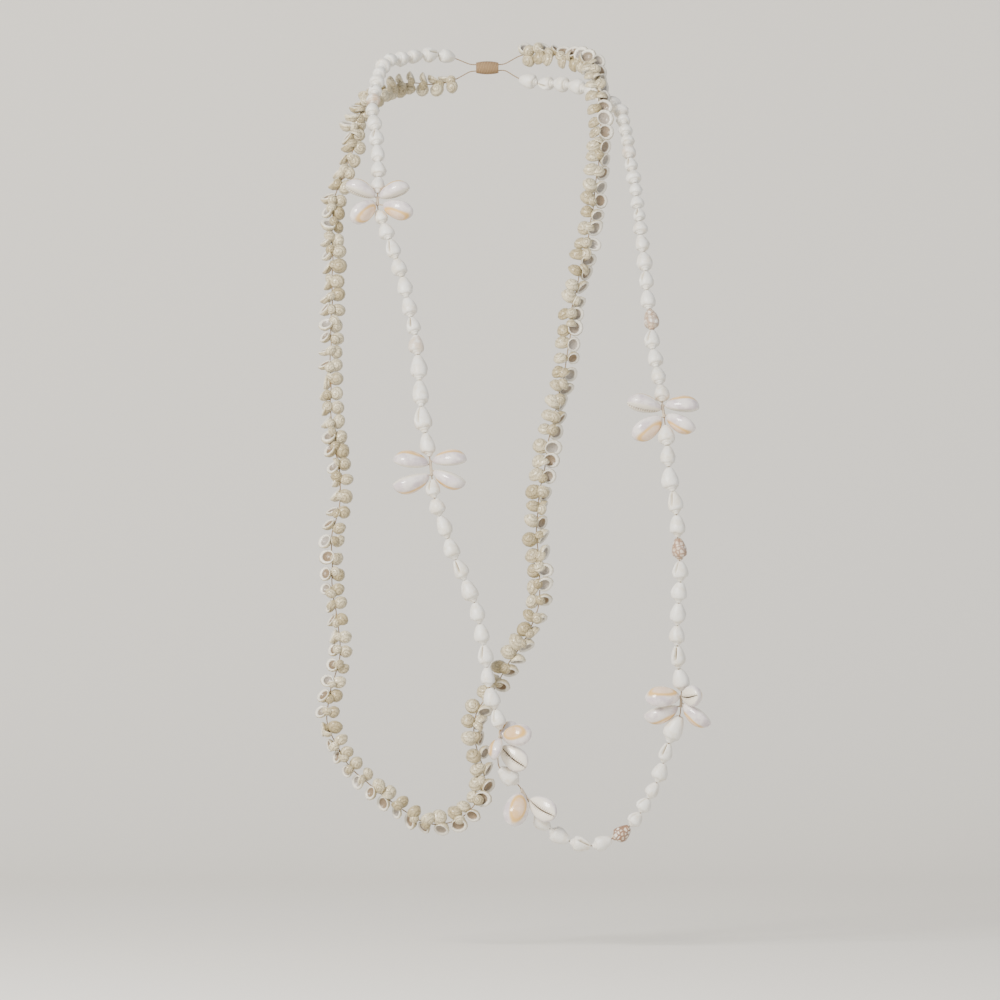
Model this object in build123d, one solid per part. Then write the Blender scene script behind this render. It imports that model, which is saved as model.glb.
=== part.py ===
from build123d import *
import math
import os

# Cowrie shell necklace: two long strings of shells whose threads meet in one plain knot at the nape.
# One string carries white dove shells and six flowers of cowries, the other carries small button shells.
# The frame: origin where the nape bears on the knot, +X to the right in the front view, -Y out in front
# of the chest, +Z up. All sizes are in millimetres.

os.makedirs("parts", exist_ok=True)

# Driving sizes
NECK_RADIUS = 57.0
THREAD_RADIUS = 0.3
DRILL_RADIUS = 0.8
CORNER_SHARE = 0.3
WOBBLE = 0.4
WOBBLE_STEP = 2.1
STOP_SWING = 0.06
STOP_SWING_STEP = 2.3

# Dove shells: long white spires, drilled from the narrow mouth to the tip of the spire
DOVE_GIRTH_SHARE = 0.10
DOVE_GIRTH_BASE = 3.2
DOVE_GIRTH_SWING = 0.07
DOVE_GIRTH_STEP = 2.9
DOVE_CLEARANCE = 0.3
DOVE_END_RADIUS = 1.8
DOVE_SLIT_WIDTH = 0.9
DOVE_SLIT_FLOOR = 1.5
DOVE_TURN = 130.0
DOVE_SWING = 110.0
DOVE_STEP = 1.7

# Button shells: small low domes, two to a stop, one each side of the thread
BUTTON_RADIUS = 4.3
BUTTON_OFFSET = 4.6
BUTTON_DOME = 3.2
BUTTON_BASE = 1.2
BUTTON_MOUTH_DEPTH = 0.9
BUTTON_MOUTH_CURVE = 4.0
BUTTON_MOUTH_SHIFT = 0.95
BUTTON_LEAN = 47.0
BUTTON_CORE_RADIUS = 1.8
BUTTON_CORE_LENGTH = 3.2
BUTTON_STOP = 8.8
BUTTON_TWIST = 26.0
BUTTON_STEP = 0.8

# Cowries: egg-shaped, flat below with a long slit
COWRIE_WIDTH_SHARE = 0.67
COWRIE_BASE_SHARE = 0.23
COWRIE_BASE_CURVE = 1.7
COWRIE_SLIT_SHARE = 0.075
COWRIE_SLIT_DEPTH = 1.7
TIP_HOLE_RADIUS = 0.75
TIP_HOLE_DEPTH = 3.2

# Flower ties: a small knot on the thread, with a stub of thread into the tip of each cowrie
TIE_RADIUS = 0.8
TIE_END = 0.9
TIE_BORE_RADIUS = 0.5
STUB_RADIUS = 0.4
STUB_INSERT = 1.6

# The knot at the nape, a plain barrel with two sockets in each end
KNOT_LENGTH = 13.0
KNOT_RADIUS = 3.8
KNOT_WAIST = 3.0
SOCKET_RADIUS = 0.6
SOCKET_DEPTH = 3.5
SOCKET_SPREAD = 1.7
THREAD_IN_SOCKET = 2.6

# Routes, from the knot's left end round the front to its right end.
# The columns are x, how far in front of the neck's middle, z, what hangs from here to the next row, how many.
DOVE_ROUTE = [
    (-10.0, -60.8, 1.7, "thread", 1),
    (-18.5, -59.9, 5.8, "dove", 3),
    (-46.0, -42.0, 5.0, "dove", 3),
    (-61.2, -14.0, -2.5, "dove", 1),
    (-62.4, -5.0, -8.0, "dove", 4),
    (-65.0, 21.0, -31.0, "dove", 2),
    (-62.0, 33.5, -48.5, "dove", 3),
    (-61.5, 49.0, -76.5, "flower", 1),
    (-61.5, 52.0, -85.5, "dove", 2),
    (-54.5, 59.5, -102.5, "dove", 4),
    (-42.5, 73.0, -146.5, "dove", 2),
    (-38.5, 80.5, -168.0, "dove", 2),
    (-37.0, 90.0, -197.0, "dove", 2),
    (-31.8, 97.0, -225.0, "flower", 1),
    (-31.0, 100.5, -237.5, "dove", 2),
    (-26.3, 103.0, -258.0, "dove", 5),
    (-3.6, 107.3, -318.0, "dove", 3),
    (1.4, 109.0, -353.5, "dove", 2),
    (7.3, 109.5, -377.5, "flower", 1),
    (6.2, 109.0, -389.0, "thread", 1),
    (6.5, 108.5, -398.0, "dove", 1),
    (17.3, 106.5, -407.8, "flower", 1),
    (23.3, 104.5, -416.5, "thread", 1),
    (26.6, 103.0, -424.0, "dove", 2),
    (46.0, 103.0, -439.3, "dove", 1),
    (58.3, 103.5, -442.3, "dove", 1),
    (70.0, 103.0, -438.5, "dove", 1),
    (79.5, 103.5, -431.0, "dove", 3),
    (94.6, 105.0, -406.5, "dove", 2),
    (101.5, 108.0, -384.5, "dove", 1),
    (107.5, 111.0, -369.0, "flower", 1),
    (108.3, 113.5, -355.5, "dove", 2),
    (105.5, 118.0, -330.0, "dove", 3),
    (107.5, 121.0, -294.5, "dove", 2),
    (106.4, 122.5, -270.0, "dove", 4),
    (100.2, 114.0, -219.0, "dove", 1),
    (99.4, 109.0, -207.5, "flower", 1),
    (98.0, 103.0, -194.5, "dove", 3),
    (93.2, 88.0, -165.0, "dove", 3),
    (90.0, 73.0, -131.5, "dove", 3),
    (86.5, 60.0, -100.0, "dove", 4),
    (83.4, 46.0, -70.5, "dove", 3),
    (79.5, 31.0, -48.5, "dove", 3),
    (77.0, 14.0, -31.0, "dove", 2),
    (69.0, -9.0, -21.0, "dove", 3),
    (47.0, -42.0, -10.5, "dove", 3),
    (18.5, -59.9, -6.2, "thread", 1),
    (10.0, -60.8, -1.7, "thread", 1),
]

# The columns are x, how far in front of the neck's middle, and z.
BUTTON_START = (-10.0, -60.8, -1.7)
BUTTON_END = (10.0, -60.8, 1.7)
BUTTON_ROUTE = [
    (-18.5, -59.9, -7.2),
    (-46.5, -42.5, -10.0),
    (-65.0, -12.0, -18.5),
    (-71.0, 5.0, -27.5),
    (-75.5, 13.5, -34.5),
    (-77.0, 22.0, -40.5),
    (-75.0, 30.5, -48.0),
    (-78.6, 38.0, -59.0),
    (-83.0, 43.0, -70.0),
    (-86.5, 47.0, -81.0),
    (-87.0, 56.0, -98.0),
    (-86.8, 69.0, -126.0),
    (-87.4, 82.0, -154.0),
    (-87.4, 96.0, -182.0),
    (-86.2, 109.0, -210.0),
    (-82.3, 117.0, -232.0),
    (-81.2, 121.0, -249.0),
    (-85.7, 122.0, -266.0),
    (-86.2, 122.0, -283.0),
    (-85.1, 120.0, -305.0),
    (-81.4, 118.0, -328.0),
    (-83.4, 116.0, -344.0),
    (-87.9, 115.0, -358.0),
    (-89.0, 114.0, -372.0),
    (-84.6, 113.0, -384.0),
    (-79.5, 111.0, -393.0),
    (-71.0, 109.0, -403.0),
    (-57.0, 107.0, -414.0),
    (-38.6, 104.0, -427.0),
    (-25.0, 103.0, -430.5),
    (-13.4, 102.0, -425.5),
    (-5.0, 100.5, -416.5),
    (-1.6, 99.0, -404.0),
    (-5.0, 98.0, -389.0),
    (-7.8, 97.5, -378.0),
    (-6.2, 97.0, -368.0),
    (3.0, 97.0, -356.0),
    (10.0, 98.5, -344.0),
    (16.2, 100.5, -334.0),
    (24.0, 103.0, -322.0),
    (28.6, 105.0, -308.0),
    (29.7, 105.0, -291.0),
    (28.0, 105.0, -272.0),
    (28.0, 103.0, -256.0),
    (31.4, 100.0, -235.0),
    (34.7, 95.0, -215.5),
    (39.2, 89.0, -196.0),
    (43.0, 84.0, -179.0),
    (46.0, 78.5, -162.0),
    (47.2, 73.0, -145.5),
    (50.4, 67.5, -129.0),
    (54.3, 62.0, -113.5),
    (57.7, 57.0, -98.0),
    (60.0, 51.0, -81.0),
    (62.2, 43.5, -64.5),
    (63.8, 34.0, -47.5),
    (64.0, 23.0, -32.0),
    (63.0, 10.0, -16.5),
    (61.6, -4.0, -6.0),
    (59.8, -16.0, 0.0),
    (46.0, -42.5, 5.0),
    (18.5, -59.9, 7.2),
]

# The narrow mouth of a dove shell is its upper end, so the shells turn round after this many flowers.
FLOWERS_ON_LEFT = 4

# Cowries of each flower. The columns are heading in the front view from +X towards +Z, tilt out towards the
# front, roll of the back from facing the front towards facing up, length, step along the thread, and reach
# from the thread to the inner tip.
FLOWERS = [
    [
        (157.5, 13.3, 108.9, 18.5, 2.3, 1.5),
        (213.9, 26.4, -37.2, 18.5, 0.2, 1.8),
        (19.9, 16.2, 102.9, 18.5, 2.1, 1.3),
        (-13.4, 16.1, -49.2, 18.5, -1.2, 3.1),
    ],
    [
        (172.9, 6.0, 86.7, 20.0, 2.1, 1.1),
        (197.1, 5.4, -91.4, 21.5, -3.6, 1.3),
        (3.1, 9.2, 88.0, 19.5, 3.9, 1.2),
        (-21.6, 10.5, -92.7, 19.5, -1.0, 1.5),
    ],
    [
        (4.2, 30.1, 24.7, 18.5, 2.6, 1.9),
        (-39.7, 14.6, 173.0, 18.5, -2.2, 2.0),
        (-101.1, 47.7, 77.9, 15.0, 2.2, 2.1),
        (41.7, -46.2, 96.2, 15.0, 1.0, 1.6),
    ],
    [
        (-106.0, 19.9, -8.5, 20.0, 1.8, 1.8),
        (-32.8, 28.8, 168.4, 19.0, -3.6, 2.2),
    ],
    [
        (185.2, 17.1, 55.5, 20.0, 4.1, 1.0),
        (197.2, -11.4, -85.5, 20.0, -1.3, 1.8),
        (7.3, 59.4, 179.1, 17.0, 3.7, 1.1),
        (-36.7, 7.5, -84.4, 19.0, 0.7, 1.6),
    ],
    [
        (168.0, 5.0, 113.2, 19.5, 2.6, 1.1),
        (214.0, 4.9, -46.1, 20.0, -1.2, 1.3),
        (-3.1, 1.8, 91.4, 19.5, 5.1, 1.2),
        (-24.9, 16.8, -69.5, 18.5, 0.0, 1.8),
    ],
]


# The line of a string

def place(x, forward, z):
    """A route's row as a point: the neck's middle lies NECK_RADIUS in front of the origin."""
    return Vector(x, -NECK_RADIUS - forward, z)


def tangent(before, here, after):
    """Direction of a smooth curve at a point, weighted by the lengths of the spans on both sides."""
    back = here - before
    ahead = after - here
    return (back * (ahead.length / back.length) + ahead * (back.length / ahead.length)) / (
        back.length + ahead.length
    )


def span_points(points, index, steps=48):
    """Points along the smooth curve from one route point to the next."""
    start, end = points[index], points[index + 1]
    chord = (end - start).length
    leave = tangent(points[index - 1], start, end) * chord if index > 0 else end - start
    last = index + 2 >= len(points)
    arrive = end - start if last else tangent(start, end, points[index + 2]) * chord
    line = []
    for step in range(steps + 1):
        t = step / steps
        line.append(
            start * (2 * t**3 - 3 * t**2 + 1)
            + leave * (t**3 - 2 * t**2 + t)
            + end * (3 * t**2 - 2 * t**3)
            + arrive * (t**3 - t**2)
        )
    return line


def stations(line, count, seed):
    """Points that cut a line of points into count stops of slightly uneven length, without its start."""
    reach = [0.0]
    for near, far in zip(line, line[1:]):
        reach.append(reach[-1] + (far - near).length)
    weights = [1 + STOP_SWING * math.sin(STOP_SWING_STEP * (seed + k)) for k in range(count)]
    found, goal, index = [], 0.0, 1
    for weight in weights[:-1]:
        goal += reach[-1] * weight / sum(weights)
        while reach[index] < goal:
            index += 1
        share = (goal - reach[index - 1]) / (reach[index] - reach[index - 1])
        found.append(line[index - 1] + (line[index] - line[index - 1]) * share)
    return found + [line[-1]]


def wobbled(points, seed):
    """The same points, each set a little off the line in a direction that turns from one to the next."""
    moved = [points[0]]
    for index in range(1, len(points) - 1):
        along = (points[index + 1] - points[index - 1]).normalized()
        across = along.cross(Vector(0, 1, 0)).normalized()
        angle = WOBBLE_STEP * (seed + index)
        off = across * math.cos(angle) + along.cross(across) * math.sin(angle)
        moved.append(points[index] + off * WOBBLE)
    return moved + [points[-1]]


def string_stops(rows, left_end, right_end, seed):
    """Junctions along a string and, for each stop between two of them, what hangs there."""
    points = [left_end] + [place(x, forward, z) for x, forward, z, *_ in rows] + [right_end]
    joints, kinds = [left_end], []
    spans = [("thread", 1)] + [(kind, count) for *_, kind, count in rows]
    for index, (kind, count) in enumerate(spans):
        joints += stations(span_points(points, index), count, seed + len(joints))
        kinds += [kind] * count
    return wobbled(joints, seed), kinds


def button_stops(left_end, right_end, seed):
    """Junctions and kinds along the button string, whose pairs all have stops of close to one length."""
    lead_in = [left_end, place(*BUTTON_START), place(*BUTTON_ROUTE[0])]
    lead_out = [place(*BUTTON_ROUTE[-1]), place(*BUTTON_END), right_end]
    points = lead_in + [place(*row) for row in BUTTON_ROUTE[1:-1]] + lead_out
    first, last = len(lead_in) - 1, len(points) - len(lead_out)
    line = [points[first]]
    for index in range(first, last):
        line += span_points(points, index)[1:]
    length = sum((far - near).length for near, far in zip(line, line[1:]))
    count = round(length / BUTTON_STOP)
    joints = lead_in + stations(line, count, seed) + lead_out[1:]
    return wobbled(joints, seed), ["thread"] * first + ["button"] * count + ["thread"] * first


def end_gap(before, here, after):
    """Room that a dove shell leaves at one of its junctions, more where the thread turns there."""
    half_turn = math.radians((here - before).get_angle(after - here)) / 2
    return DOVE_CLEARANCE / 2 + DOVE_END_RADIUS * math.tan(half_turn)


def stop_plane(start, end, turn):
    """Plane across a stop at its start: Z along the thread, Y towards the front, turned about the thread."""
    along = (end - start).normalized()
    side = along.cross(Vector(0, -1, 0)).normalized() * -1
    front = along.cross(side)
    angle = math.radians(turn)
    return Plane(origin=start, x_dir=side * math.cos(angle) + front * math.sin(angle), z_dir=along)


def thread_along(joints):
    """A round thread through the junctions: straight runs joined by tangent arcs."""
    radii = []
    for before, here, after in zip(joints, joints[1:], joints[2:]):
        back, ahead = here - before, after - here
        half_turn = math.radians(back.get_angle(ahead)) / 2
        radii.append(CORNER_SHARE * min(back.length, ahead.length) / math.tan(half_turn))
    path = FilletPolyline(*joints, radius=radii)
    section = Plane(origin=joints[0], z_dir=joints[1] - joints[0]) * Circle(THREAD_RADIUS)
    tube = sweep(section, path=path)
    print("thread length", round(path.length), "smallest arc", round(min(radii), 1),
          "volume over section times length", round(tube.volume / (section.area * path.length), 4))
    return tube


# The shells

def dove_shell(length, girth):
    """A drilled dove shell standing on its narrow mouth: a belly, a shoulder and a short stepped spire."""
    mouth = max(0.36 * girth, DRILL_RADIUS + 0.45)
    body = Spline(
        (mouth, 0, 0),
        (0.62 * girth, 0, 0.14 * length),
        (0.88 * girth, 0, 0.36 * length),
        (1.00 * girth, 0, 0.60 * length),
        (0.80 * girth, 0, 0.81 * length),
    )
    whorl = ThreePointArc(
        (0.60 * girth, 0, 0.825 * length), (0.57 * girth, 0, 0.87 * length), (0.47 * girth, 0, 0.90 * length)
    )
    tip = ThreePointArc(
        (0.42 * girth, 0, 0.905 * length), (0.38 * girth, 0, 0.96 * length), (0.28 * girth, 0, length)
    )
    outline = Wire([
        body,
        Line(body @ 1, whorl @ 0),
        whorl,
        Line(whorl @ 1, tip @ 0),
        tip,
        Line(tip @ 1, (DRILL_RADIUS, 0, length)),
        Line((DRILL_RADIUS, 0, length), (DRILL_RADIUS, 0, 0)),
        Line((DRILL_RADIUS, 0, 0), (mouth, 0, 0)),
    ])
    shell = revolve(Face(outline), Axis.Z)
    slit = extrude(
        Plane(origin=(0, DOVE_SLIT_FLOOR, 0.36 * length), x_dir=(0.2, 0, 1), z_dir=(0, 1, 0))
        * SlotOverall(0.52 * length, DOVE_SLIT_WIDTH),
        amount=2 * girth,
    )
    return shell - slit


def button_shell():
    """A small round dome with its axis along Z, on a shallow base that is hollowed off its middle."""
    outline = Wire([
        Line((0, 0, -BUTTON_BASE), (0, 0, BUTTON_DOME)),
        Spline((0, 0, BUTTON_DOME), (0.62 * BUTTON_RADIUS, 0, 0.72 * BUTTON_DOME), (BUTTON_RADIUS, 0, 0),
               tangents=[(1, 0, -0.25), (0, 0, -1)]),
        Spline((BUTTON_RADIUS, 0, 0), (0.6 * BUTTON_RADIUS, 0, -BUTTON_BASE * 0.9), (0, 0, -BUTTON_BASE),
               tangents=[(0, 0, -1), (-1, 0, 0)]),
    ])
    hollow = Pos(0, BUTTON_MOUTH_SHIFT, BUTTON_MOUTH_DEPTH - BUTTON_BASE - BUTTON_MOUTH_CURVE)
    return revolve(Face(outline), Axis.Z) - hollow * Sphere(BUTTON_MOUTH_CURVE)


def button_pair():
    """Two button shells that meet at the thread, leaning opposite ways, drilled where they meet."""
    right = Pos(BUTTON_OFFSET, 0, 0) * Rot(-90 + BUTTON_LEAN, 0, 0) * button_shell()
    left = Rot(0, 0, 180) * right
    core = Cylinder(BUTTON_CORE_RADIUS, BUTTON_CORE_LENGTH)
    return right + left + core - Cylinder(DRILL_RADIUS, 4 * BUTTON_RADIUS)


def cowrie_shell(length):
    """A cowrie with its inner tip at the origin, long along X, its back up Z and its slit below."""
    width = COWRIE_WIDTH_SHARE * length
    half = Spline(
        (0, 0, 0),
        (0.06 * length, 0.19 * width, 0),
        (0.24 * length, 0.38 * width, 0),
        (0.55 * length, 0.50 * width, 0),
        (0.85 * length, 0.38 * width, 0),
        (length, 0, 0),
        tangents=[(0.25, 1, 0), (0, -1, 0)],
    )
    body = revolve(Face(Wire([half, Line((length, 0, 0), (0, 0, 0))])), Axis.X)
    curve = COWRIE_BASE_CURVE * width
    floor = Pos(length / 2, 0, curve - COWRIE_BASE_SHARE * width) * Rot(0, 90, 0) * Cylinder(curve, 2 * length)
    middle = ThreePointArc(
        (0.10 * length, 0.02 * width, 0), (0.5 * length, 0.07 * width, 0), (0.90 * length, -0.02 * width, 0)
    )
    slit = extrude(
        Pos(0, 0, COWRIE_SLIT_DEPTH - COWRIE_BASE_SHARE * width)
        * SlotArc(middle, COWRIE_SLIT_SHARE * width),
        amount=-width,
    )
    tip_hole = Rot(0, 90, 0) * Cylinder(TIP_HOLE_RADIUS, 2 * TIP_HOLE_DEPTH)
    return (body & floor) - slit - tip_hole


# Flowers

def cowrie_direction(heading, tilt):
    """Unit vector along a cowrie from its inner tip, from its heading and its tilt to the front."""
    flat = math.cos(math.radians(tilt))
    return Vector(
        flat * math.cos(math.radians(heading)),
        -math.sin(math.radians(tilt)),
        flat * math.sin(math.radians(heading)),
    )


def cowrie_plane(tip, heading, tilt, roll):
    """Plane for a cowrie: X along it, and Z, its back, turned by roll from the front towards up."""
    along = cowrie_direction(heading, tilt)
    front = Vector(0, -1, 0) - along * Vector(0, -1, 0).dot(along)
    front = front.normalized()
    up = front.cross(along)
    up = up if up.Z >= 0 else up * -1
    angle = math.radians(roll)
    return Plane(origin=tip, x_dir=along, z_dir=front * math.cos(angle) + up * math.sin(angle))


def flower(start, end, cowries):
    """The cowries of one flower and the knot that ties them to the thread between two junctions."""
    middle = (start + end) / 2
    along = (start - end).normalized()
    along = along if along.Z >= 0 else along * -1
    steps = [step for *_, step, _ in cowries]
    half_height = (max(steps) - min(steps)) / 2 + TIE_END
    knot_middle = middle + along * ((max(steps) + min(steps)) / 2)
    knot = Plane(origin=knot_middle, z_dir=along) * Cylinder(TIE_RADIUS, 2 * half_height)
    knot = fillet(knot.edges(), TIE_RADIUS * 0.3)
    shells = []
    for heading, tilt, roll, length, step, reach in cowries:
        centre = middle + along * step
        direction = cowrie_direction(heading, tilt)
        tip = centre + direction * reach
        shells.append(cowrie_plane(tip, heading, tilt, roll).location * cowrie_shell(length))
        stub_length = reach + STUB_INSERT
        stub = Plane(origin=centre + direction * stub_length / 2, z_dir=direction) * Cylinder(
            STUB_RADIUS, stub_length
        )
        knot = knot + stub
    return shells, knot - Plane(origin=middle, z_dir=along) * Cylinder(TIE_BORE_RADIUS, 6 * half_height)


def nape_knot():
    """A plain barrel along X behind the nape, with a socket for each thread end."""
    outline = Wire([
        Line((-KNOT_LENGTH / 2, 0, 0), (-KNOT_LENGTH / 2, KNOT_WAIST, 0)),
        ThreePointArc((-KNOT_LENGTH / 2, KNOT_WAIST, 0), (0, KNOT_RADIUS, 0), (KNOT_LENGTH / 2, KNOT_WAIST, 0)),
        Line((KNOT_LENGTH / 2, KNOT_WAIST, 0), (KNOT_LENGTH / 2, 0, 0)),
        Line((KNOT_LENGTH / 2, 0, 0), (-KNOT_LENGTH / 2, 0, 0)),
    ])
    barrel = Pos(0, KNOT_RADIUS, 0) * revolve(Face(outline), Axis.X)
    for side in (-1, 1):
        for height in (-SOCKET_SPREAD, SOCKET_SPREAD):
            socket = Cylinder(SOCKET_RADIUS, 2 * SOCKET_DEPTH)
            barrel -= Pos(side * KNOT_LENGTH / 2, KNOT_RADIUS, height) * Rot(0, 90, 0) * socket
    return barrel


def save(shapes, name):
    """Write one node: a single solid, or a string of loose ones."""
    solids = [solid for shape in shapes for solid in shape.solids()]
    whole = solids[0] if len(solids) == 1 else Compound(children=solids)
    export_step(whole, f"parts/{name}.step")
    print(name, len(solids))


def knot_end(side, height):
    """Where a thread ends inside its socket."""
    return Vector(side * (KNOT_LENGTH / 2 - THREAD_IN_SOCKET), KNOT_RADIUS, height)


# The white string
dove_joints, dove_kinds = string_stops(
    DOVE_ROUTE, knot_end(-1, SOCKET_SPREAD), knot_end(1, -SOCKET_SPREAD), seed=1
)
lowest_dove = min(range(len(dove_joints)), key=lambda index: dove_joints[index].Z)
doves = {"left": [], "right": []}
flowers_made = 0
for index, kind in enumerate(dove_kinds):
    start, end = dove_joints[index], dove_joints[index + 1]
    side = "left" if index < lowest_dove else "right"
    if kind == "dove":
        near_gap = end_gap(dove_joints[index - 1], start, end)
        far_gap = end_gap(start, end, dove_joints[index + 2])
        length = math.floor(10 * ((end - start).length - near_gap - far_gap)) / 10
        swing = 1 + DOVE_GIRTH_SWING * math.sin(DOVE_GIRTH_STEP * index)
        girth = (DOVE_GIRTH_BASE + DOVE_GIRTH_SHARE * length) * swing
        shell = dove_shell(length, girth)
        turn = DOVE_TURN + DOVE_SWING * math.sin(DOVE_STEP * index)
        if flowers_made < FLOWERS_ON_LEFT:
            doves[side].append(stop_plane(start, end, turn).location * Pos(0, 0, near_gap) * shell)
        else:
            doves[side].append(stop_plane(end, start, turn).location * Pos(0, 0, far_gap) * shell)
    if kind == "flower":
        shells, tie = flower(start, end, FLOWERS[flowers_made])
        flowers_made += 1
        for number, shell in enumerate(shells):
            save([shell], f"cowrie_{flowers_made}_{'abcd'[number]}")
        save([tie], f"flower_tie_{flowers_made}")
for side, shells in doves.items():
    save(shells, f"dove_shells_{side}")
save([thread_along(dove_joints)], "dove_thread")

# The button string
button_joints, button_kinds = button_stops(knot_end(-1, -SOCKET_SPREAD), knot_end(1, SOCKET_SPREAD), seed=5)
lowest_button = min(range(len(button_joints)), key=lambda index: button_joints[index].Z)
pair = button_pair()
buttons = {"left": [], "right": []}
for index, kind in enumerate(button_kinds):
    if kind == "button":
        start, end = button_joints[index], button_joints[index + 1]
        plane = stop_plane(start, end, BUTTON_TWIST * math.sin(BUTTON_STEP * index))
        side = "left" if index < lowest_button else "right"
        buttons[side].append(plane.location * Pos(0, 0, (end - start).length / 2) * pair)
for side, shells in buttons.items():
    save(shells, f"button_shells_{side}")
save([thread_along(button_joints)], "button_thread")

save([nape_knot()], "nape_knot")
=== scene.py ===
import math

import bpy
import mathutils
import numpy as np
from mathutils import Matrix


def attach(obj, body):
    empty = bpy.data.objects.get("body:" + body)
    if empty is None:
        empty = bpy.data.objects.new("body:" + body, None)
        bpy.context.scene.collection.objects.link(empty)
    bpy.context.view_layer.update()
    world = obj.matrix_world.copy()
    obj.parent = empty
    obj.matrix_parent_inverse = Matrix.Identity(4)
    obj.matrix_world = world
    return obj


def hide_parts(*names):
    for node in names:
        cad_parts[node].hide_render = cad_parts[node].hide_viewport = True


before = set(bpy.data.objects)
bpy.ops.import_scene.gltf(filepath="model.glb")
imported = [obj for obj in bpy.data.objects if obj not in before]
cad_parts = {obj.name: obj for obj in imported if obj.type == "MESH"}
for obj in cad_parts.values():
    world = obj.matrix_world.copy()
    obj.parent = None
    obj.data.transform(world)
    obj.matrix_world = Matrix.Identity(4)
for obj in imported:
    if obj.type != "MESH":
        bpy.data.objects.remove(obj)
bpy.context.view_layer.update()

# Sizes are in millimetres until a mesh is made, and MM turns them into metres.
MM = 0.001
TURN = 2 * math.pi

# What the strings are laid out by, as in the frame
NECK_RADIUS = 57.0
WOBBLE = 0.4
SPAN_STEPS = 48
KNOT_LENGTH = 13.0
KNOT_RADIUS = 3.8
SOCKET_SPREAD = 1.7
THREAD_IN_SOCKET = 2.6
DOVE_CLEARANCE = 0.3
DOVE_END_RADIUS = 1.8
DOVE_GIRTH_SHARE = 0.10
DOVE_GIRTH_BASE = 3.2
DOVE_GIRTH_SWING = 0.07
DOVE_TURN = 130.0
DOVE_SWING = 110.0
DOVE_STEP = 1.7
FLOWERS_ON_LEFT = 4
BUTTON_RADIUS = 4.3
BUTTON_OFFSET = 4.6
BUTTON_LEAN = 47.0
BUTTON_STOP = 8.8
BUTTON_TWIST = 26.0
BUTTON_STEP = 0.8
COWRIE_WIDTH_SHARE = 0.67
COWRIE_BASE_SHARE = 0.23

# Colours, linear
DOVE_WHITE = (0.83, 0.81, 0.75)
DOVE_CREAM = (0.70, 0.62, 0.46)
DOVE_TAN = (0.50, 0.33, 0.20)
DOVE_NET = (0.26, 0.14, 0.08)
# Painted shade inside the dove shells' slit
DOVE_SLIT_SHADE = (0.22, 0.13, 0.07)
COWRIE_SIDE = (0.80, 0.74, 0.70)
COWRIE_LILAC = (0.60, 0.52, 0.54)
COWRIE_BACK = (0.74, 0.47, 0.22)
COWRIE_RING = (0.72, 0.42, 0.08)
COWRIE_BASE = (0.84, 0.78, 0.66)
# Painted shade inside the cowries' slit
COWRIE_SLIT_SHADE = (0.10, 0.05, 0.025)
COWRIE_PEACH = (0.80, 0.60, 0.44)
# Painted shade in the grooves between the cowries' teeth
COWRIE_TOOTH_GAP_SHADE = (0.42, 0.27, 0.14)
BUTTON_SHELL = (0.43, 0.35, 0.19)
BUTTON_DARK = (0.24, 0.18, 0.09)
BUTTON_PALE = (0.70, 0.62, 0.43)
BUTTON_RIM = (0.82, 0.78, 0.68)
# Painted shade inside the button shells' mouths, from brown to grey by each shell's tone
BUTTON_MOUTH_SHADE = (0.24, 0.17, 0.10)
BUTTON_MOUTH_SHADE_GREY = (0.36, 0.32, 0.27)
THREAD_TAN = (0.46, 0.33, 0.18)
THREAD_DARK = (0.22, 0.13, 0.06)
TIE_PALE = (0.72, 0.63, 0.50)
TIE_SHADE = (0.45, 0.35, 0.24)
FLOOR_PALE = (0.80, 0.77, 0.71)

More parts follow.
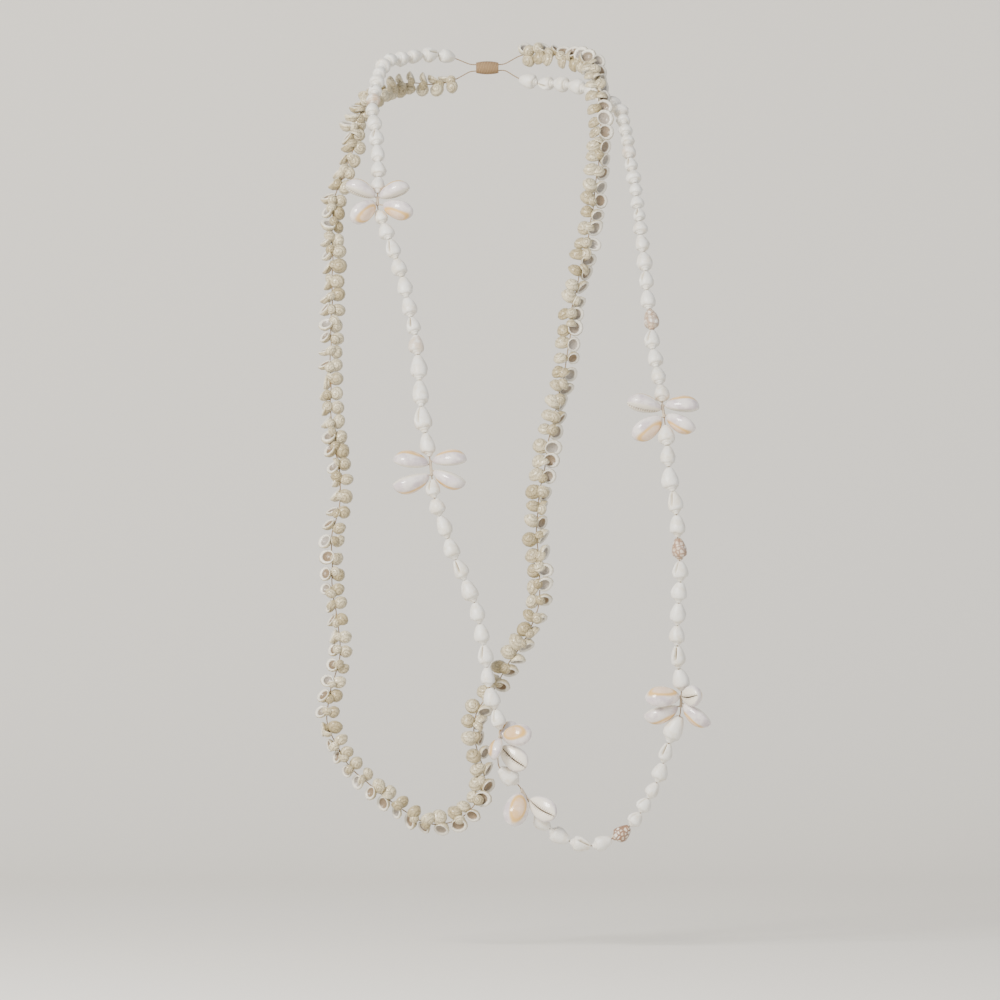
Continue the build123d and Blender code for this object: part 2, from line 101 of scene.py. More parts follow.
# The columns are x, how far in front of the neck's middle, z, what hangs from here to the next row, how many.
DOVE_ROUTE = [
    (-10.0, -60.8, 1.7, "thread", 1),
    (-18.5, -59.9, 5.8, "dove", 3),
    (-46.0, -42.0, 5.0, "dove", 3),
    (-61.2, -14.0, -2.5, "dove", 1),
    (-62.4, -5.0, -8.0, "dove", 4),
    (-65.0, 21.0, -31.0, "dove", 2),
    (-62.0, 33.5, -48.5, "dove", 3),
    (-61.5, 49.0, -76.5, "flower", 1),
    (-61.5, 52.0, -85.5, "dove", 2),
    (-54.5, 59.5, -102.5, "dove", 4),
    (-42.5, 73.0, -146.5, "dove", 2),
    (-38.5, 80.5, -168.0, "dove", 2),
    (-37.0, 90.0, -197.0, "dove", 2),
    (-31.8, 97.0, -225.0, "flower", 1),
    (-31.0, 100.5, -237.5, "dove", 2),
    (-26.3, 103.0, -258.0, "dove", 5),
    (-3.6, 107.3, -318.0, "dove", 3),
    (1.4, 109.0, -353.5, "dove", 2),
    (7.3, 109.5, -377.5, "flower", 1),
    (6.2, 109.0, -389.0, "thread", 1),
    (6.5, 108.5, -398.0, "dove", 1),
    (17.3, 106.5, -407.8, "flower", 1),
    (23.3, 104.5, -416.5, "thread", 1),
    (26.6, 103.0, -424.0, "dove", 2),
    (46.0, 103.0, -439.3, "dove", 1),
    (58.3, 103.5, -442.3, "dove", 1),
    (70.0, 103.0, -438.5, "dove", 1),
    (79.5, 103.5, -431.0, "dove", 3),
    (94.6, 105.0, -406.5, "dove", 2),
    (101.5, 108.0, -384.5, "dove", 1),
    (107.5, 111.0, -369.0, "flower", 1),
    (108.3, 113.5, -355.5, "dove", 2),
    (105.5, 118.0, -330.0, "dove", 3),
    (107.5, 121.0, -294.5, "dove", 2),
    (106.4, 122.5, -270.0, "dove", 4),
    (100.2, 114.0, -219.0, "dove", 1),
    (99.4, 109.0, -207.5, "flower", 1),
    (98.0, 103.0, -194.5, "dove", 3),
    (93.2, 88.0, -165.0, "dove", 3),
    (90.0, 73.0, -131.5, "dove", 3),
    (86.5, 60.0, -100.0, "dove", 4),
    (83.4, 46.0, -70.5, "dove", 3),
    (79.5, 31.0, -48.5, "dove", 3),
    (77.0, 14.0, -31.0, "dove", 2),
    (69.0, -9.0, -21.0, "dove", 3),
    (47.0, -42.0, -10.5, "dove", 3),
    (18.5, -59.9, -6.2, "thread", 1),
    (10.0, -60.8, -1.7, "thread", 1),
]

# The columns are x, how far in front of the neck's middle, and z.
BUTTON_START = (-10.0, -60.8, -1.7)
BUTTON_END = (10.0, -60.8, 1.7)
BUTTON_ROUTE = [
    (-18.5, -59.9, -7.2),
    (-46.5, -42.5, -10.0),
    (-65.0, -12.0, -18.5),
    (-71.0, 5.0, -27.5),
    (-75.5, 13.5, -34.5),
    (-77.0, 22.0, -40.5),
    (-75.0, 30.5, -48.0),
    (-78.6, 38.0, -59.0),
    (-83.0, 43.0, -70.0),
    (-86.5, 47.0, -81.0),
    (-87.0, 56.0, -98.0),
    (-86.8, 69.0, -126.0),
    (-87.4, 82.0, -154.0),
    (-87.4, 96.0, -182.0),
    (-86.2, 109.0, -210.0),
    (-82.3, 117.0, -232.0),
    (-81.2, 121.0, -249.0),
    (-85.7, 122.0, -266.0),
    (-86.2, 122.0, -283.0),
    (-85.1, 120.0, -305.0),
    (-81.4, 118.0, -328.0),
    (-83.4, 116.0, -344.0),
    (-87.9, 115.0, -358.0),
    (-89.0, 114.0, -372.0),
    (-84.6, 113.0, -384.0),
    (-79.5, 111.0, -393.0),
    (-71.0, 109.0, -403.0),
    (-57.0, 107.0, -414.0),
    (-38.6, 104.0, -427.0),
    (-25.0, 103.0, -430.5),
    (-13.4, 102.0, -425.5),
    (-5.0, 100.5, -416.5),
    (-1.6, 99.0, -404.0),
    (-5.0, 98.0, -389.0),
    (-7.8, 97.5, -378.0),
    (-6.2, 97.0, -368.0),
    (3.0, 97.0, -356.0),
    (10.0, 98.5, -344.0),
    (16.2, 100.5, -334.0),
    (24.0, 103.0, -322.0),
    (28.6, 105.0, -308.0),
    (29.7, 105.0, -291.0),
    (28.0, 105.0, -272.0),
    (28.0, 103.0, -256.0),
    (31.4, 100.0, -235.0),
    (34.7, 95.0, -215.5),
    (39.2, 89.0, -196.0),
    (43.0, 84.0, -179.0),
    (46.0, 78.5, -162.0),
    (47.2, 73.0, -145.5),
    (50.4, 67.5, -129.0),
    (54.3, 62.0, -113.5),
    (57.7, 57.0, -98.0),
    (60.0, 51.0, -81.0),
    (62.2, 43.5, -64.5),
    (63.8, 34.0, -47.5),
    (64.0, 23.0, -32.0),
    (63.0, 10.0, -16.5),
    (61.6, -4.0, -6.0),
    (59.8, -16.0, 0.0),
    (46.0, -42.5, 5.0),
    (18.5, -59.9, 7.2),
]

# Cowries of each flower. The columns are heading, tilt to the front, roll of the back, length, step along
# the thread, and reach from the thread to the inner tip.
FLOWERS = [
    [
        (157.5, 13.3, 108.9, 18.5, 2.3, 1.5),
        (213.9, 26.4, -37.2, 18.5, 0.2, 1.8),
        (19.9, 16.2, 102.9, 18.5, 2.1, 1.3),
        (-13.4, 16.1, -49.2, 18.5, -1.2, 3.1),
    ],
    [
        (172.9, 6.0, 86.7, 20.0, 2.1, 1.1),
        (197.1, 5.4, -91.4, 21.5, -3.6, 1.3),
        (3.1, 9.2, 88.0, 19.5, 3.9, 1.2),
        (-21.6, 10.5, -92.7, 19.5, -1.0, 1.5),
    ],
    [
        (4.2, 30.1, 24.7, 18.5, 2.6, 1.9),
        (-39.7, 14.6, 173.0, 18.5, -2.2, 2.0),
        (-101.1, 47.7, 77.9, 15.0, 2.2, 2.1),
        (41.7, -46.2, 96.2, 15.0, 1.0, 1.6),
    ],
    [
        (-106.0, 19.9, -8.5, 20.0, 1.8, 1.8),
        (-32.8, 28.8, 168.4, 19.0, -3.6, 2.2),
    ],
    [
        (185.2, 17.1, 55.5, 20.0, 4.1, 1.0),
        (197.2, -11.4, -85.5, 20.0, -1.3, 1.8),
        (7.3, 59.4, 179.1, 17.0, 3.7, 1.1),
        (-36.7, 7.5, -84.4, 19.0, 0.7, 1.6),
    ],
    [
        (168.0, 5.0, 113.2, 19.5, 2.6, 1.1),
        (214.0, 4.9, -46.1, 20.0, -1.2, 1.3),
        (-3.1, 1.8, 91.4, 19.5, 5.1, 1.2),
        (-24.9, 16.8, -69.5, 18.5, 0.0, 1.8),
    ],
]

# Odd shells on the white string. The columns are x, z, how tan, and how netted with brown.
ODD_DOVES = [
    (-65.0, -22.4, 0.8, 0.1),
    (-38.6, -161.3, 0.45, 0.0),
    (107.5, -277.2, 0.75, 0.8),
    (91.8, -148.4, 0.7, 0.6),
    (74.5, -435.1, 0.5, 1.0),
    (78.4, -50.4, 0.4, 0.0),
]


# Where the shells hang

def unit(vectors):
    """Each vector divided by its own length."""
    return vectors / np.linalg.norm(vectors, axis=-1, keepdims=True)


def placed(rows):
    """Route rows as points: the neck's middle lies NECK_RADIUS in front of the origin."""
    table = np.array([row[:3] for row in rows], float)
    return np.stack([table[:, 0], -NECK_RADIUS - table[:, 1], table[:, 2]], axis=1)


def span_curves(points):
    """Points on a smooth curve through the route, one array for each span: a Hermite cubic whose
    directions at the route's points are weighted by the lengths of the spans on both sides."""
    chords = np.diff(points, axis=0)
    lengths = np.linalg.norm(chords, axis=1)[:, None]
    back, ahead = chords[:-1], chords[1:]
    weight = lengths[1:] / lengths[:-1]
    inner = (back * weight + ahead / weight) / (lengths[1:] + lengths[:-1])
    slopes = np.vstack([chords[:1] / lengths[:1], inner, chords[-1:] / lengths[-1:]])
    t = np.linspace(0, 1, SPAN_STEPS + 1)[None, :, None]
    start, end = points[:-1, None], points[1:, None]
    leave, arrive = (slopes[:-1] * lengths)[:, None], (slopes[1:] * lengths)[:, None]
    return (
        start * (2 * t**3 - 3 * t**2 + 1)
        + leave * (t**3 - 2 * t**2 + t)
        + end * (3 * t**2 - 2 * t**3)
        + arrive * (t**3 - t**2)
    )


def stations(line, count, seed):
    """Points that cut a curve into count stops of slightly uneven length, without its start."""
    steps = np.linalg.norm(np.diff(line, axis=0), axis=1)
    reach = np.concatenate([[0.0], np.cumsum(steps)])
    weights = 1 + 0.06 * np.sin(2.3 * (seed + np.arange(count)))
    goals = reach[-1] * np.cumsum(weights) / weights.sum()
    found = np.stack([np.interp(goals, reach, line[:, axis]) for axis in range(3)], axis=1)
    found[-1] = line[-1]
    return found


def wobbled(points, seed):
    """The same points, each set a little off the line in a direction that turns from one to the next."""
    along = unit(points[2:] - points[:-2])
    across = unit(np.cross(along, (0.0, 1.0, 0.0)))
    angle = 2.1 * (seed + np.arange(1, len(points) - 1))[:, None]
    moved = points.copy()
    moved[1:-1] += WOBBLE * (across * np.cos(angle) + np.cross(along, across) * np.sin(angle))
    return moved


def knot_end(side, height):
    """Where a thread ends inside its socket of the knot."""
    return np.array([[side * (KNOT_LENGTH / 2 - THREAD_IN_SOCKET), KNOT_RADIUS, height]])


def string_stops(rows, left_end, right_end, seed):
    """Junctions along a string and, for each stop between two of them, what hangs there."""
    points = np.vstack([left_end, placed(rows), right_end])
    spans = [("thread", 1)] + [row[3:] for row in rows]
    joints, kinds = [left_end], []
    made = 1
    for line, (kind, count) in zip(span_curves(points), spans):
        joints.append(stations(line, count, seed + made))
        kinds += [kind] * count
        made += count
    return wobbled(np.vstack(joints), seed), kinds


def button_stops(left_end, right_end, seed):
    """Junctions and kinds along the button string, whose pairs all have stops of close to one length."""
    lead_in = np.vstack([left_end, placed([BUTTON_START]), placed(BUTTON_ROUTE[:1])])
    lead_out = np.vstack([placed(BUTTON_ROUTE[-1:]), placed([BUTTON_END]), right_end])
    points = np.vstack([lead_in, placed(BUTTON_ROUTE[1:-1]), lead_out])
    first = len(lead_in) - 1
    curves = span_curves(points)[first:-first]
    line = np.vstack([curves[0, :1], curves[:, 1:].reshape(-1, 3)])
    length = np.linalg.norm(np.diff(line, axis=0), axis=1).sum()
    count = round(length / BUTTON_STOP)
    joints = np.vstack([lead_in, stations(line, count, seed), lead_out[1:]])
    return wobbled(joints, seed), ["thread"] * first + ["button"] * count + ["thread"] * first


def stop_axes(start, end, turn):
    """Axes of a stop as columns: Z along the thread, Y to the front, both turned about the thread."""
    along = unit(end - start)
    side = -unit(np.cross(along, (0.0, -1.0, 0.0)))
    front = np.cross(along, side)
    angle = math.radians(turn)
    x_axis = side * math.cos(angle) + front * math.sin(angle)
    return np.stack([x_axis, np.cross(along, x_axis), along], axis=1)


def end_gap(before, here, after):
    """Room that a dove shell leaves at one of its junctions, more where the thread turns there."""
    cosine = float(unit(here - before) @ unit(after - here))
    return DOVE_CLEARANCE / 2 + DOVE_END_RADIUS * math.tan(math.acos(min(1.0, cosine)) / 2)


# Meshes

def new_piece(name, points, faces, material, smooth=True):
    """A mesh object at the origin from points in millimetres and arrays of faces."""
    mesh = bpy.data.meshes.new(name)
    mesh.from_pydata((points * MM).tolist(), [], [face for block in faces for face in block.tolist()])
    mesh.materials.append(material)
    mesh.polygons.foreach_set("use_smooth", np.full(len(mesh.polygons), smooth))
    mesh.update()
    piece = bpy.data.objects.new(name, mesh)
    bpy.context.scene.collection.objects.link(piece)
    return piece


def give_attribute(piece, name, values):
    """A colour attribute on the points, with four columns, or a number with one."""
    flat = np.asarray(values, np.float32)
    kind, field = ("FLOAT_COLOR", "color") if flat.ndim == 2 else ("FLOAT", "value")
    attribute = piece.data.attributes.new(name, kind, "POINT")
    attribute.data.foreach_set(field, flat.ravel())


def closed_grid(rings, columns):
    """Faces of rings of columns points, closed round, with a pole point before the first ring and one
    after the last: an array of quads between the rings and one of triangles at the poles."""
    ring, column = np.meshgrid(np.arange(rings - 1), np.arange(columns), indexing="ij")
    a = 1 + ring * columns + column
    b = 1 + ring * columns + (column + 1) % columns
    quads = np.stack([a, b, b + columns, a + columns], -1).reshape(-1, 4)
    around = np.arange(columns)
    following = (around + 1) % columns
    last = 1 + (rings - 1) * columns
    start_cap = np.stack([np.zeros(columns, int), 1 + following, 1 + around], -1)
    end_cap = np.stack([np.full(columns, last + columns), last + around, last + following], -1)
    return [quads, np.concatenate([start_cap, end_cap])]


def turned_over(faces):
    """The same faces seen from the other side."""
    return [block[:, ::-1] for block in faces]


def smooth_step(low, high, value):
    """0 below low, 1 above high, and a smooth rise between."""
    t = np.clip((value - low) / (high - low), 0, 1)
    return t * t * (3 - 2 * t)


def bump(value, centre, width):
    """A bell curve, 1 at the centre."""
    return np.exp(-(((value - centre) / width) ** 2))


def smooth_profile(table, t):
    """A table's second column at t, as a smooth curve through its rows (a Hermite cubic)."""
    x, y = table[:, 0], table[:, 1]
    slope = np.gradient(y, x)
    index = np.clip(np.searchsorted(x, t, side="right") - 1, 0, len(x) - 2)
    width = x[index + 1] - x[index]
    s = (t - x[index]) / width
    return (
        y[index] * (2 * s**3 - 3 * s**2 + 1)
        + slope[index] * width * (s**3 - 2 * s**2 + s)
        + y[index + 1] * (3 * s**2 - 2 * s**3)
        + slope[index + 1] * width * (s**3 - s**2)
    )


def crowded(count, centre, share, tightness):
    """count values from 0 to 1, round a circle, with the given share of them crowded near centre."""
    even = np.linspace(0, 1, 721)[:-1]
    gap = np.abs((even - centre + 0.5) % 1 - 0.5)
    density = (1 - share) + share * np.exp(-((gap / tightness) ** 2)) / (tightness * math.sqrt(math.pi))
    reach = np.concatenate([[0], np.cumsum(density)])
    reach /= reach[-1]
    return np.interp(np.arange(count) / count, reach, np.linspace(0, 1, 721))


# Dove shells

DOVE_COLUMNS = 30
# How far along the shell, and the radius as a share of the girth
DOVE_PROFILE = np.array([
    (0.000, 0.36), (0.030, 0.44), (0.080, 0.53), (0.140, 0.63), (0.210, 0.73), (0.290, 0.82),
    (0.370, 0.89), (0.450, 0.95), (0.530, 0.99), (0.610, 1.00), (0.680, 0.98), (0.740, 0.94),
    (0.780, 0.88), (0.805, 0.80), (0.820, 0.66), (0.835, 0.59), (0.860, 0.58), (0.885, 0.53),
    (0.900, 0.44), (0.915, 0.40), (0.935, 0.39), (0.960, 0.35), (0.985, 0.29), (1.000, 0.20),
])


def dove_surface(length, girth, seed):
    """A dove shell standing on its mouth. Rings run up the axis by the profile's radius, and past the
    shoulder they climb by part of a whorl in each turn, from the slit round to the slit again. The mouth
    is a slit cut along the front between a thick outer lip and a low inner one. The axis bows a little."""
    rng = np.random.default_rng(seed)
    around = crowded(DOVE_COLUMNS, 0.5, 0.45, 0.09)
    t, around = np.meshgrid(DOVE_PROFILE[:, 0], around, indexing="ij")
    radius = girth * np.repeat(DOVE_PROFILE[:, 1:], DOVE_COLUMNS, axis=1)
    angle = (around - 0.25) * TURN
    climb = 0.06 * (around - 0.5) * smooth_step(0.55, 0.80, t) * (1 - smooth_step(0.95, 1.0, t))
    window = smooth_step(0.0, 0.04, t) * (1 - smooth_step(0.52, 0.66, t))
    off = angle - math.pi / 2 - rng.uniform(0.1, 0.5) * (t - 0.3)
    cut = window * bump(off, 0, 0.21 - 0.12 * t)
    radius *= 1 + window * (0.13 * bump(off, 0.42, 0.20) + 0.05 * bump(off, -0.34, 0.16))
    radius *= 1 + 0.03 * np.sin(2 * angle + rng.uniform(0, TURN)) * smooth_step(0.1, 0.5, t)
    radius -= cut * np.maximum(radius - 1.0, 0) * 0.9
    bow_angle = rng.uniform(0, TURN)
    bow = rng.uniform(0.03, 0.14) * girth * np.sin(math.pi * t)
    x = radius * np.cos(angle) + bow * math.cos(bow_angle)
    y = radius * np.sin(angle) + bow * math.sin(bow_angle)
    points = np.stack([x, y, (t + climb) * length], -1).reshape(-1, 3)
    # Marks at the two suture grooves, where the material paints shade
    suture = bump(t, 0.830, 0.014) + bump(t, 0.912, 0.012)
    marks = np.stack([cut, suture, t, np.ones_like(t)], -1).reshape(-1, 4)
    ends = np.array([[0, 0, 0.4], [0, 0, length - 0.3]])
    end_marks = np.array([[0.7, 0, 0, 1], [0.7, 0, 1, 1]])
    return np.vstack([ends[:1], points, ends[1:]]), np.vstack([end_marks[:1], marks, end_marks[1:]])


def dove_string(joints, kinds):
    """Every dove shell of the white string in its place, as (half, middle, points, marks) rows."""
    lowest = int(np.argmin(joints[:, 2]))
    shells, flowers = [], 0
    for index, kind in enumerate(kinds):
        flowers += kind == "flower"
        if kind != "dove":
            continue
        start, end = joints[index], joints[index + 1]
        near_gap = end_gap(joints[index - 1], start, end)
        far_gap = end_gap(start, end, joints[index + 2])
        along = unit(end - start)
        length = float(np.linalg.norm(end - start)) - near_gap - far_gap
        turn = DOVE_TURN + DOVE_SWING * math.sin(DOVE_STEP * index)
        if flowers < FLOWERS_ON_LEFT:
            axes, foot = stop_axes(start, end, turn), start + along * near_gap
        else:
            axes, foot = stop_axes(end, start, turn), end - along * far_gap
        girth = (DOVE_GIRTH_BASE + DOVE_GIRTH_SHARE * length) * (1 + DOVE_GIRTH_SWING * math.sin(2.9 * index))
        points, marks = dove_surface(length, girth, index)
        half = "left" if index < lowest else "right"
        shells.append((half, (start + end) / 2, points @ axes.T + foot, marks))
    return shells


def dove_tints(middles):
    """A row for each shell: how tan, how netted and a random tone. Odd shells are found by x and z."""
    rng = np.random.default_rng(3)
    tints = np.zeros((len(middles), 4))
    tints[:, 0] = 0.10 * rng.random(len(middles)) ** 2
    tints[:, 2] = rng.random(len(middles))
    tints[:, 3] = 1.0
    for x, z, tan, net in ODD_DOVES:
        nearest = int(np.argmin(np.hypot(middles[:, 0] - x, middles[:, 2] - z)))
        tints[nearest, :2] = (tan, net)
    return tints


def joined(shells):
    """Several shells' points stacked, and the number of each shell's first point."""
    points = np.vstack(shells)
    return points, np.arange(len(shells)) * len(shells[0])


def repeated(faces, starts):
    """Faces of one shell copied for each shell, whose points start at the given numbers."""
    return [(block[None] + starts[:, None, None]).reshape(-1, block.shape[1]) for block in faces]


# Button shells

BUTTON_COLUMNS = 12
# From the dome's top down round the rim and into the mouth: radius and height as shares of the shell's
# radius, the share of the mouth's offset that applies, and how far across the shell the ring lies
BUTTON_PROFILE = np.array([
    (0.42, 0.72, 0.0, 0.18),
    (0.78, 0.47, 0.0, 0.36),
    (1.00, 0.02, 0.0, 0.48),
    (0.92, -0.20, 0.3, 0.56),
    (0.75, -0.20, 1.0, 0.66),
    (0.60, 0.02, 1.0, 0.86),
])
BUTTON_TOP = 0.84
BUTTON_FLOOR = 0.16
BUTTON_MOUTH_OFFSET = (-0.16, 0.03)
BUTTON_MOUTH_TURN = 46.0
BUTTON_DOME_TURN = -12.0
BUTTON_MORE_LEAN = -16.0
BUTTON_INWARD = 1.1
BUTTON_MIDDLE_SHARE = 0.76
BUTTON_SIZES = {"left": 1.0, "right": 1.09}
BUTTON_MIDDLES = {"left": 0.95, "right": 0.8}


def button_surface(radius, seed):
    """A button shell with its axis along Z: rings by a profile over the dome, round the rim and into the
    mouth, which is off the middle, so that its rim is thicker on one side. The outline is a little oval,
    and each ring's radius grows round the turn and steps back at the lip, as a spiral does."""
    rng = np.random.default_rng(seed)
    height, oval, heading, start = rng.uniform((0.85, 0.84, 0, 0), (1.15, 1.0, TURN, TURN))
    around = np.arange(BUTTON_COLUMNS) / BUTTON_COLUMNS
    angle = around * TURN + start
    share, z, shift, across = BUTTON_PROFILE.T[:, :, None]
    grow = 1 + 0.09 * (around - 0.5)
    long, short = share * grow * np.cos(angle), share * grow * np.sin(angle) * oval
    x = long * math.cos(heading) - short * math.sin(heading) + shift * BUTTON_MOUTH_OFFSET[0]
    y = long * math.sin(heading) + short * math.cos(heading) + shift * BUTTON_MOUTH_OFFSET[1]
    z = z * height + 0.05 * np.cos(angle)
    points = np.stack([x, y, z], -1).reshape(-1, 3)
    apex = np.array([[0.10 * math.cos(start), 0.10 * math.sin(start), BUTTON_TOP * height]])
    floor = np.array([[*BUTTON_MOUTH_OFFSET, BUTTON_FLOOR]])
    marks = np.full((len(points) + 2, 4), 0.5)
    marks[0, 0], marks[-1, 0] = 0.0, 1.0
    marks[1:-1, 0] = np.repeat(across, BUTTON_COLUMNS)
    marks[1:-1, 1] = np.tile(0.5 + 0.5 * np.cos(angle), len(BUTTON_PROFILE))
    marks[1:-1, 2] = np.tile(0.5 + 0.5 * np.sin(angle), len(BUTTON_PROFILE))
    marks[:, 3] = rng.random()
    return np.vstack([apex, points, floor]) * radius, marks


def turn_about(axis, degrees):
    """A rotation about X, Y or Z (0, 1 or 2), to be multiplied onto columns."""
    return np.array(mathutils.Matrix.Rotation(math.radians(degrees), 3, "XYZ"[axis]))


def button_string(joints, kinds):
    """Every button shell in its place, as (half, points, marks) rows. Each stop has one shell on each side
    of the thread: one shows its dome, and the other leans the opposite way and shows its mouth, turned
    outwards. Many stops have a smaller shell in front of the thread."""
    lowest = int(np.argmin(joints[:, 2]))
    rng = np.random.default_rng(11)
    shells = []
    for index, kind in enumerate(kinds):
        if kind != "button":
            continue
        start, end = joints[index], joints[index + 1]
        axes = stop_axes(start, end, BUTTON_TWIST * math.sin(BUTTON_STEP * index))
        half = "left" if index < lowest else "right"
        radius = BUTTON_RADIUS * BUTTON_SIZES[half]
        for side, turn in ((0, BUTTON_DOME_TURN), (180, BUTTON_MOUTH_TURN)):
            size, lean, drift, step, spin = rng.uniform(-1, 1, 5)
            points, marks = button_surface(radius * (1.0 + 0.11 * size), 2 * index + side)
            lean_back = BUTTON_LEAN - 90 + BUTTON_MORE_LEAN + 14 * lean
            turned = turn_about(2, side + turn + 22 * spin) @ turn_about(0, lean_back)
            place = np.array([BUTTON_OFFSET - BUTTON_INWARD + 0.5 * drift, 0.4 * spin, 0.9 * step])
            place = turn_about(2, side) @ place
            shells.append((half, (points @ turned.T + place) @ axes.T + (start + end) / 2, marks))
        size, lean, drift, step, spin = rng.uniform(-1, 1, 5)
        if rng.random() > BUTTON_MIDDLES[half]:
            continue
        points, marks = button_surface(radius * (BUTTON_MIDDLE_SHARE + 0.10 * size), 977 + index)
        turned = turn_about(2, 70 * spin) @ turn_about(0, -75 + 50 * lean)
        place = np.array([1.6 * drift, 2.0, 2.2 * step])
        shells.append((half, (points @ turned.T + place) @ axes.T + (start + end) / 2, marks))
    return shells


# Cowries

COWRIE_RINGS = 52
COWRIE_BASE_STOPS = np.array([0.0, 0.03, 0.06, 0.09, 0.13, 0.18, 0.25, 0.36, 0.50, 0.64, 0.78, 0.89, 0.97])
COWRIE_BACK_STOPS = 17
# How far along the shell, and the half width as a share of the widest
COWRIE_PROFILE = np.array([
    (0.00, 0.00), (0.02, 0.20), (0.06, 0.38), (0.14, 0.59), (0.24, 0.76), (0.38, 0.91), (0.55, 1.00),
    (0.70, 0.97), (0.82, 0.83), (0.90, 0.64), (0.96, 0.42), (0.99, 0.21), (1.00, 0.00),
])


def cowrie_surface(length, seed):
    """A cowrie with its inner tip at the origin, long along X, its back up Z and its slit below.
    Along it the half width follows a profile. Round it, the base is a flat superellipse with two rounded
    lips and a narrow curved slit between them, and the back is a dome over thickened margins."""
    rng = np.random.default_rng(seed)
    half_width = COWRIE_WIDTH_SHARE * length / 2
    back_angle = np.linspace(0, math.pi, COWRIE_BACK_STOPS)
    across = np.concatenate([
        COWRIE_BASE_STOPS, 1 + back_angle / (math.pi / 2), 4 - COWRIE_BASE_STOPS[:0:-1],
    ])
    u = (1 - np.cos(np.linspace(0, math.pi, COWRIE_RINGS + 2)[1:-1])) / 2
    u = 0.35 * u + 0.65 * np.linspace(0, 1, COWRIE_RINGS + 2)[1:-1]
    u, across = np.meshgrid(u, across, indexing="ij")
    width = half_width * smooth_profile(COWRIE_PROFILE, u)
    upper = (across >= 1) & (across <= 3)
    angle = (across - 1) * math.pi / 2
    eta = np.where(across < 2, across, across - 4)
    eta = np.clip(eta, -1, 1)
    flat = (1 - np.abs(eta) ** 2.6) ** (1 / 2.6)
    margin = 1 + 0.05 * bump(np.minimum(angle, math.pi - angle), 0.18, 0.30)
    hump = 1 + 0.06 * np.sin(math.pi * u)
    y_back = width * np.cos(angle) * margin
    z_back = width * 0.93 * hump * np.abs(np.sin(angle)) ** 0.92
    slit_line = width * (0.16 * np.sin(math.pi * u) - 0.05)
    y_base = width * eta * (1 - 0.2 * (1 - np.abs(eta))) + slit_line * (1 - np.abs(eta)) ** 1.5
    lips = 1 - 0.26 * bump(eta, 0, 0.11)
    depth = 0.34 * smooth_step(0.03, 0.12, u) * (1 - smooth_step(0.90, 0.98, u)) * bump(eta, 0, 0.045)
    z_base = -2 * COWRIE_BASE_SHARE * width * flat * (lips - 0.10 * (u - 0.5)) + depth * half_width
    y = np.where(upper, y_back, y_base)
    z = np.where(upper, z_back, z_base)
    points = np.stack([u * length, y, z], -1).reshape(-1, 3)
    ring = np.hypot((u - 0.52) / (0.36 + 0.02 * rng.random()), y / (0.64 * half_width))
    ring = np.where(upper, ring, 2.0)
    marks = np.stack([u, np.minimum(across, 4 - across) / 2, ring / 2, np.full_like(u, rng.random())], -1)
    ends = np.array([[0.0, 0, 0], [length, 0, 0]])
    end_marks = np.array([[0, 0.5, 1, 0.5], [1, 0.5, 1, 0.5]])
    points = np.vstack([ends[:1], points, ends[1:]])
    marks = np.vstack([end_marks[:1], marks.reshape(-1, 4), end_marks[1:]])
    return points, marks


def cowrie_axes(heading, tilt, roll):
    """Axes of a cowrie as columns: X along it, and Z, its back, turned by roll from the front towards up."""
    heading, tilt, roll = np.radians((heading, tilt, roll))
    along = np.array([np.cos(tilt) * np.cos(heading), -np.sin(tilt), np.cos(tilt) * np.sin(heading)])
    forward = np.array([0.0, -1.0, 0.0])
    front = unit(forward - along * (forward @ along))
    up = np.cross(front, along)
    up = up if up[2] >= 0 else -up
    back = front * np.cos(roll) + up * np.sin(roll)
    return np.stack([along, np.cross(back, along), back], axis=1)


def cowrie_shells(start, end, cowries, number):
    """The cowries of one flower in their places, as (name, points, marks) rows."""
    middle = (start + end) / 2
    along = unit(start - end)
    along = along if along[2] >= 0 else -along
    shells = []
    for letter, (heading, tilt, roll, length, step, reach) in zip("abcd", cowries):
        axes = cowrie_axes(heading, tilt, roll)
        points, marks = cowrie_surface(length, 10 * number + ord(letter))
        where = middle + along * step + axes[:, 0] * reach
        shells.append((f"cowrie_{number}_{letter}", points @ axes.T + where, marks))
    return shells


# Shaders

def add(tree, kind, inputs=None, **settings):
    """A node with these settings. Each input is a value for the socket or another node's socket."""
    made = tree.nodes.new(kind)
    for key, value in settings.items():
        setattr(made, key, value)
    for key, value in (inputs or {}).items():
        socket = made.inputs[key]
        if isinstance(value, bpy.types.NodeSocket):
            tree.links.new(value, socket)
        elif socket.type == "RGBA":
            socket.default_value = (*value, 1.0)
        else:
            socket.default_value = value
    return made


def maths(tree, operation, first, second=0.0):
    return add(tree, "ShaderNodeMath", {0: first, 1: second}, operation=operation).outputs[0]


def between(tree, value, low, high):
    """0 where value is below low, 1 above high, smooth between; high may be the lower one."""
    return add(
        tree, "ShaderNodeMapRange", {"Value": value, "From Min": low, "From Max": high},
        interpolation_type="SMOOTHSTEP",
    ).outputs[0]


def mixed(tree, factor, low, high):
    """A colour from low at factor 0 to high at factor 1."""
    made = add(tree, "ShaderNodeMix", {0: factor, 6: low, 7: high}, data_type="RGBA")
    return made.outputs[2]


def new_group(name, inputs, outputs):
    """A shader group with named sockets, its input node and its output node."""
    group = bpy.data.node_groups.new(name, "ShaderNodeTree")
    for socket, kind, value in inputs:
        made = group.interface.new_socket(socket, in_out="INPUT", socket_type=kind)
        if value is not None:
            made.default_value = value
    for socket, kind in outputs:
        group.interface.new_socket(socket, in_out="OUTPUT", socket_type=kind)
    return group, group.nodes.new("NodeGroupInput"), group.nodes.new("NodeGroupOutput")


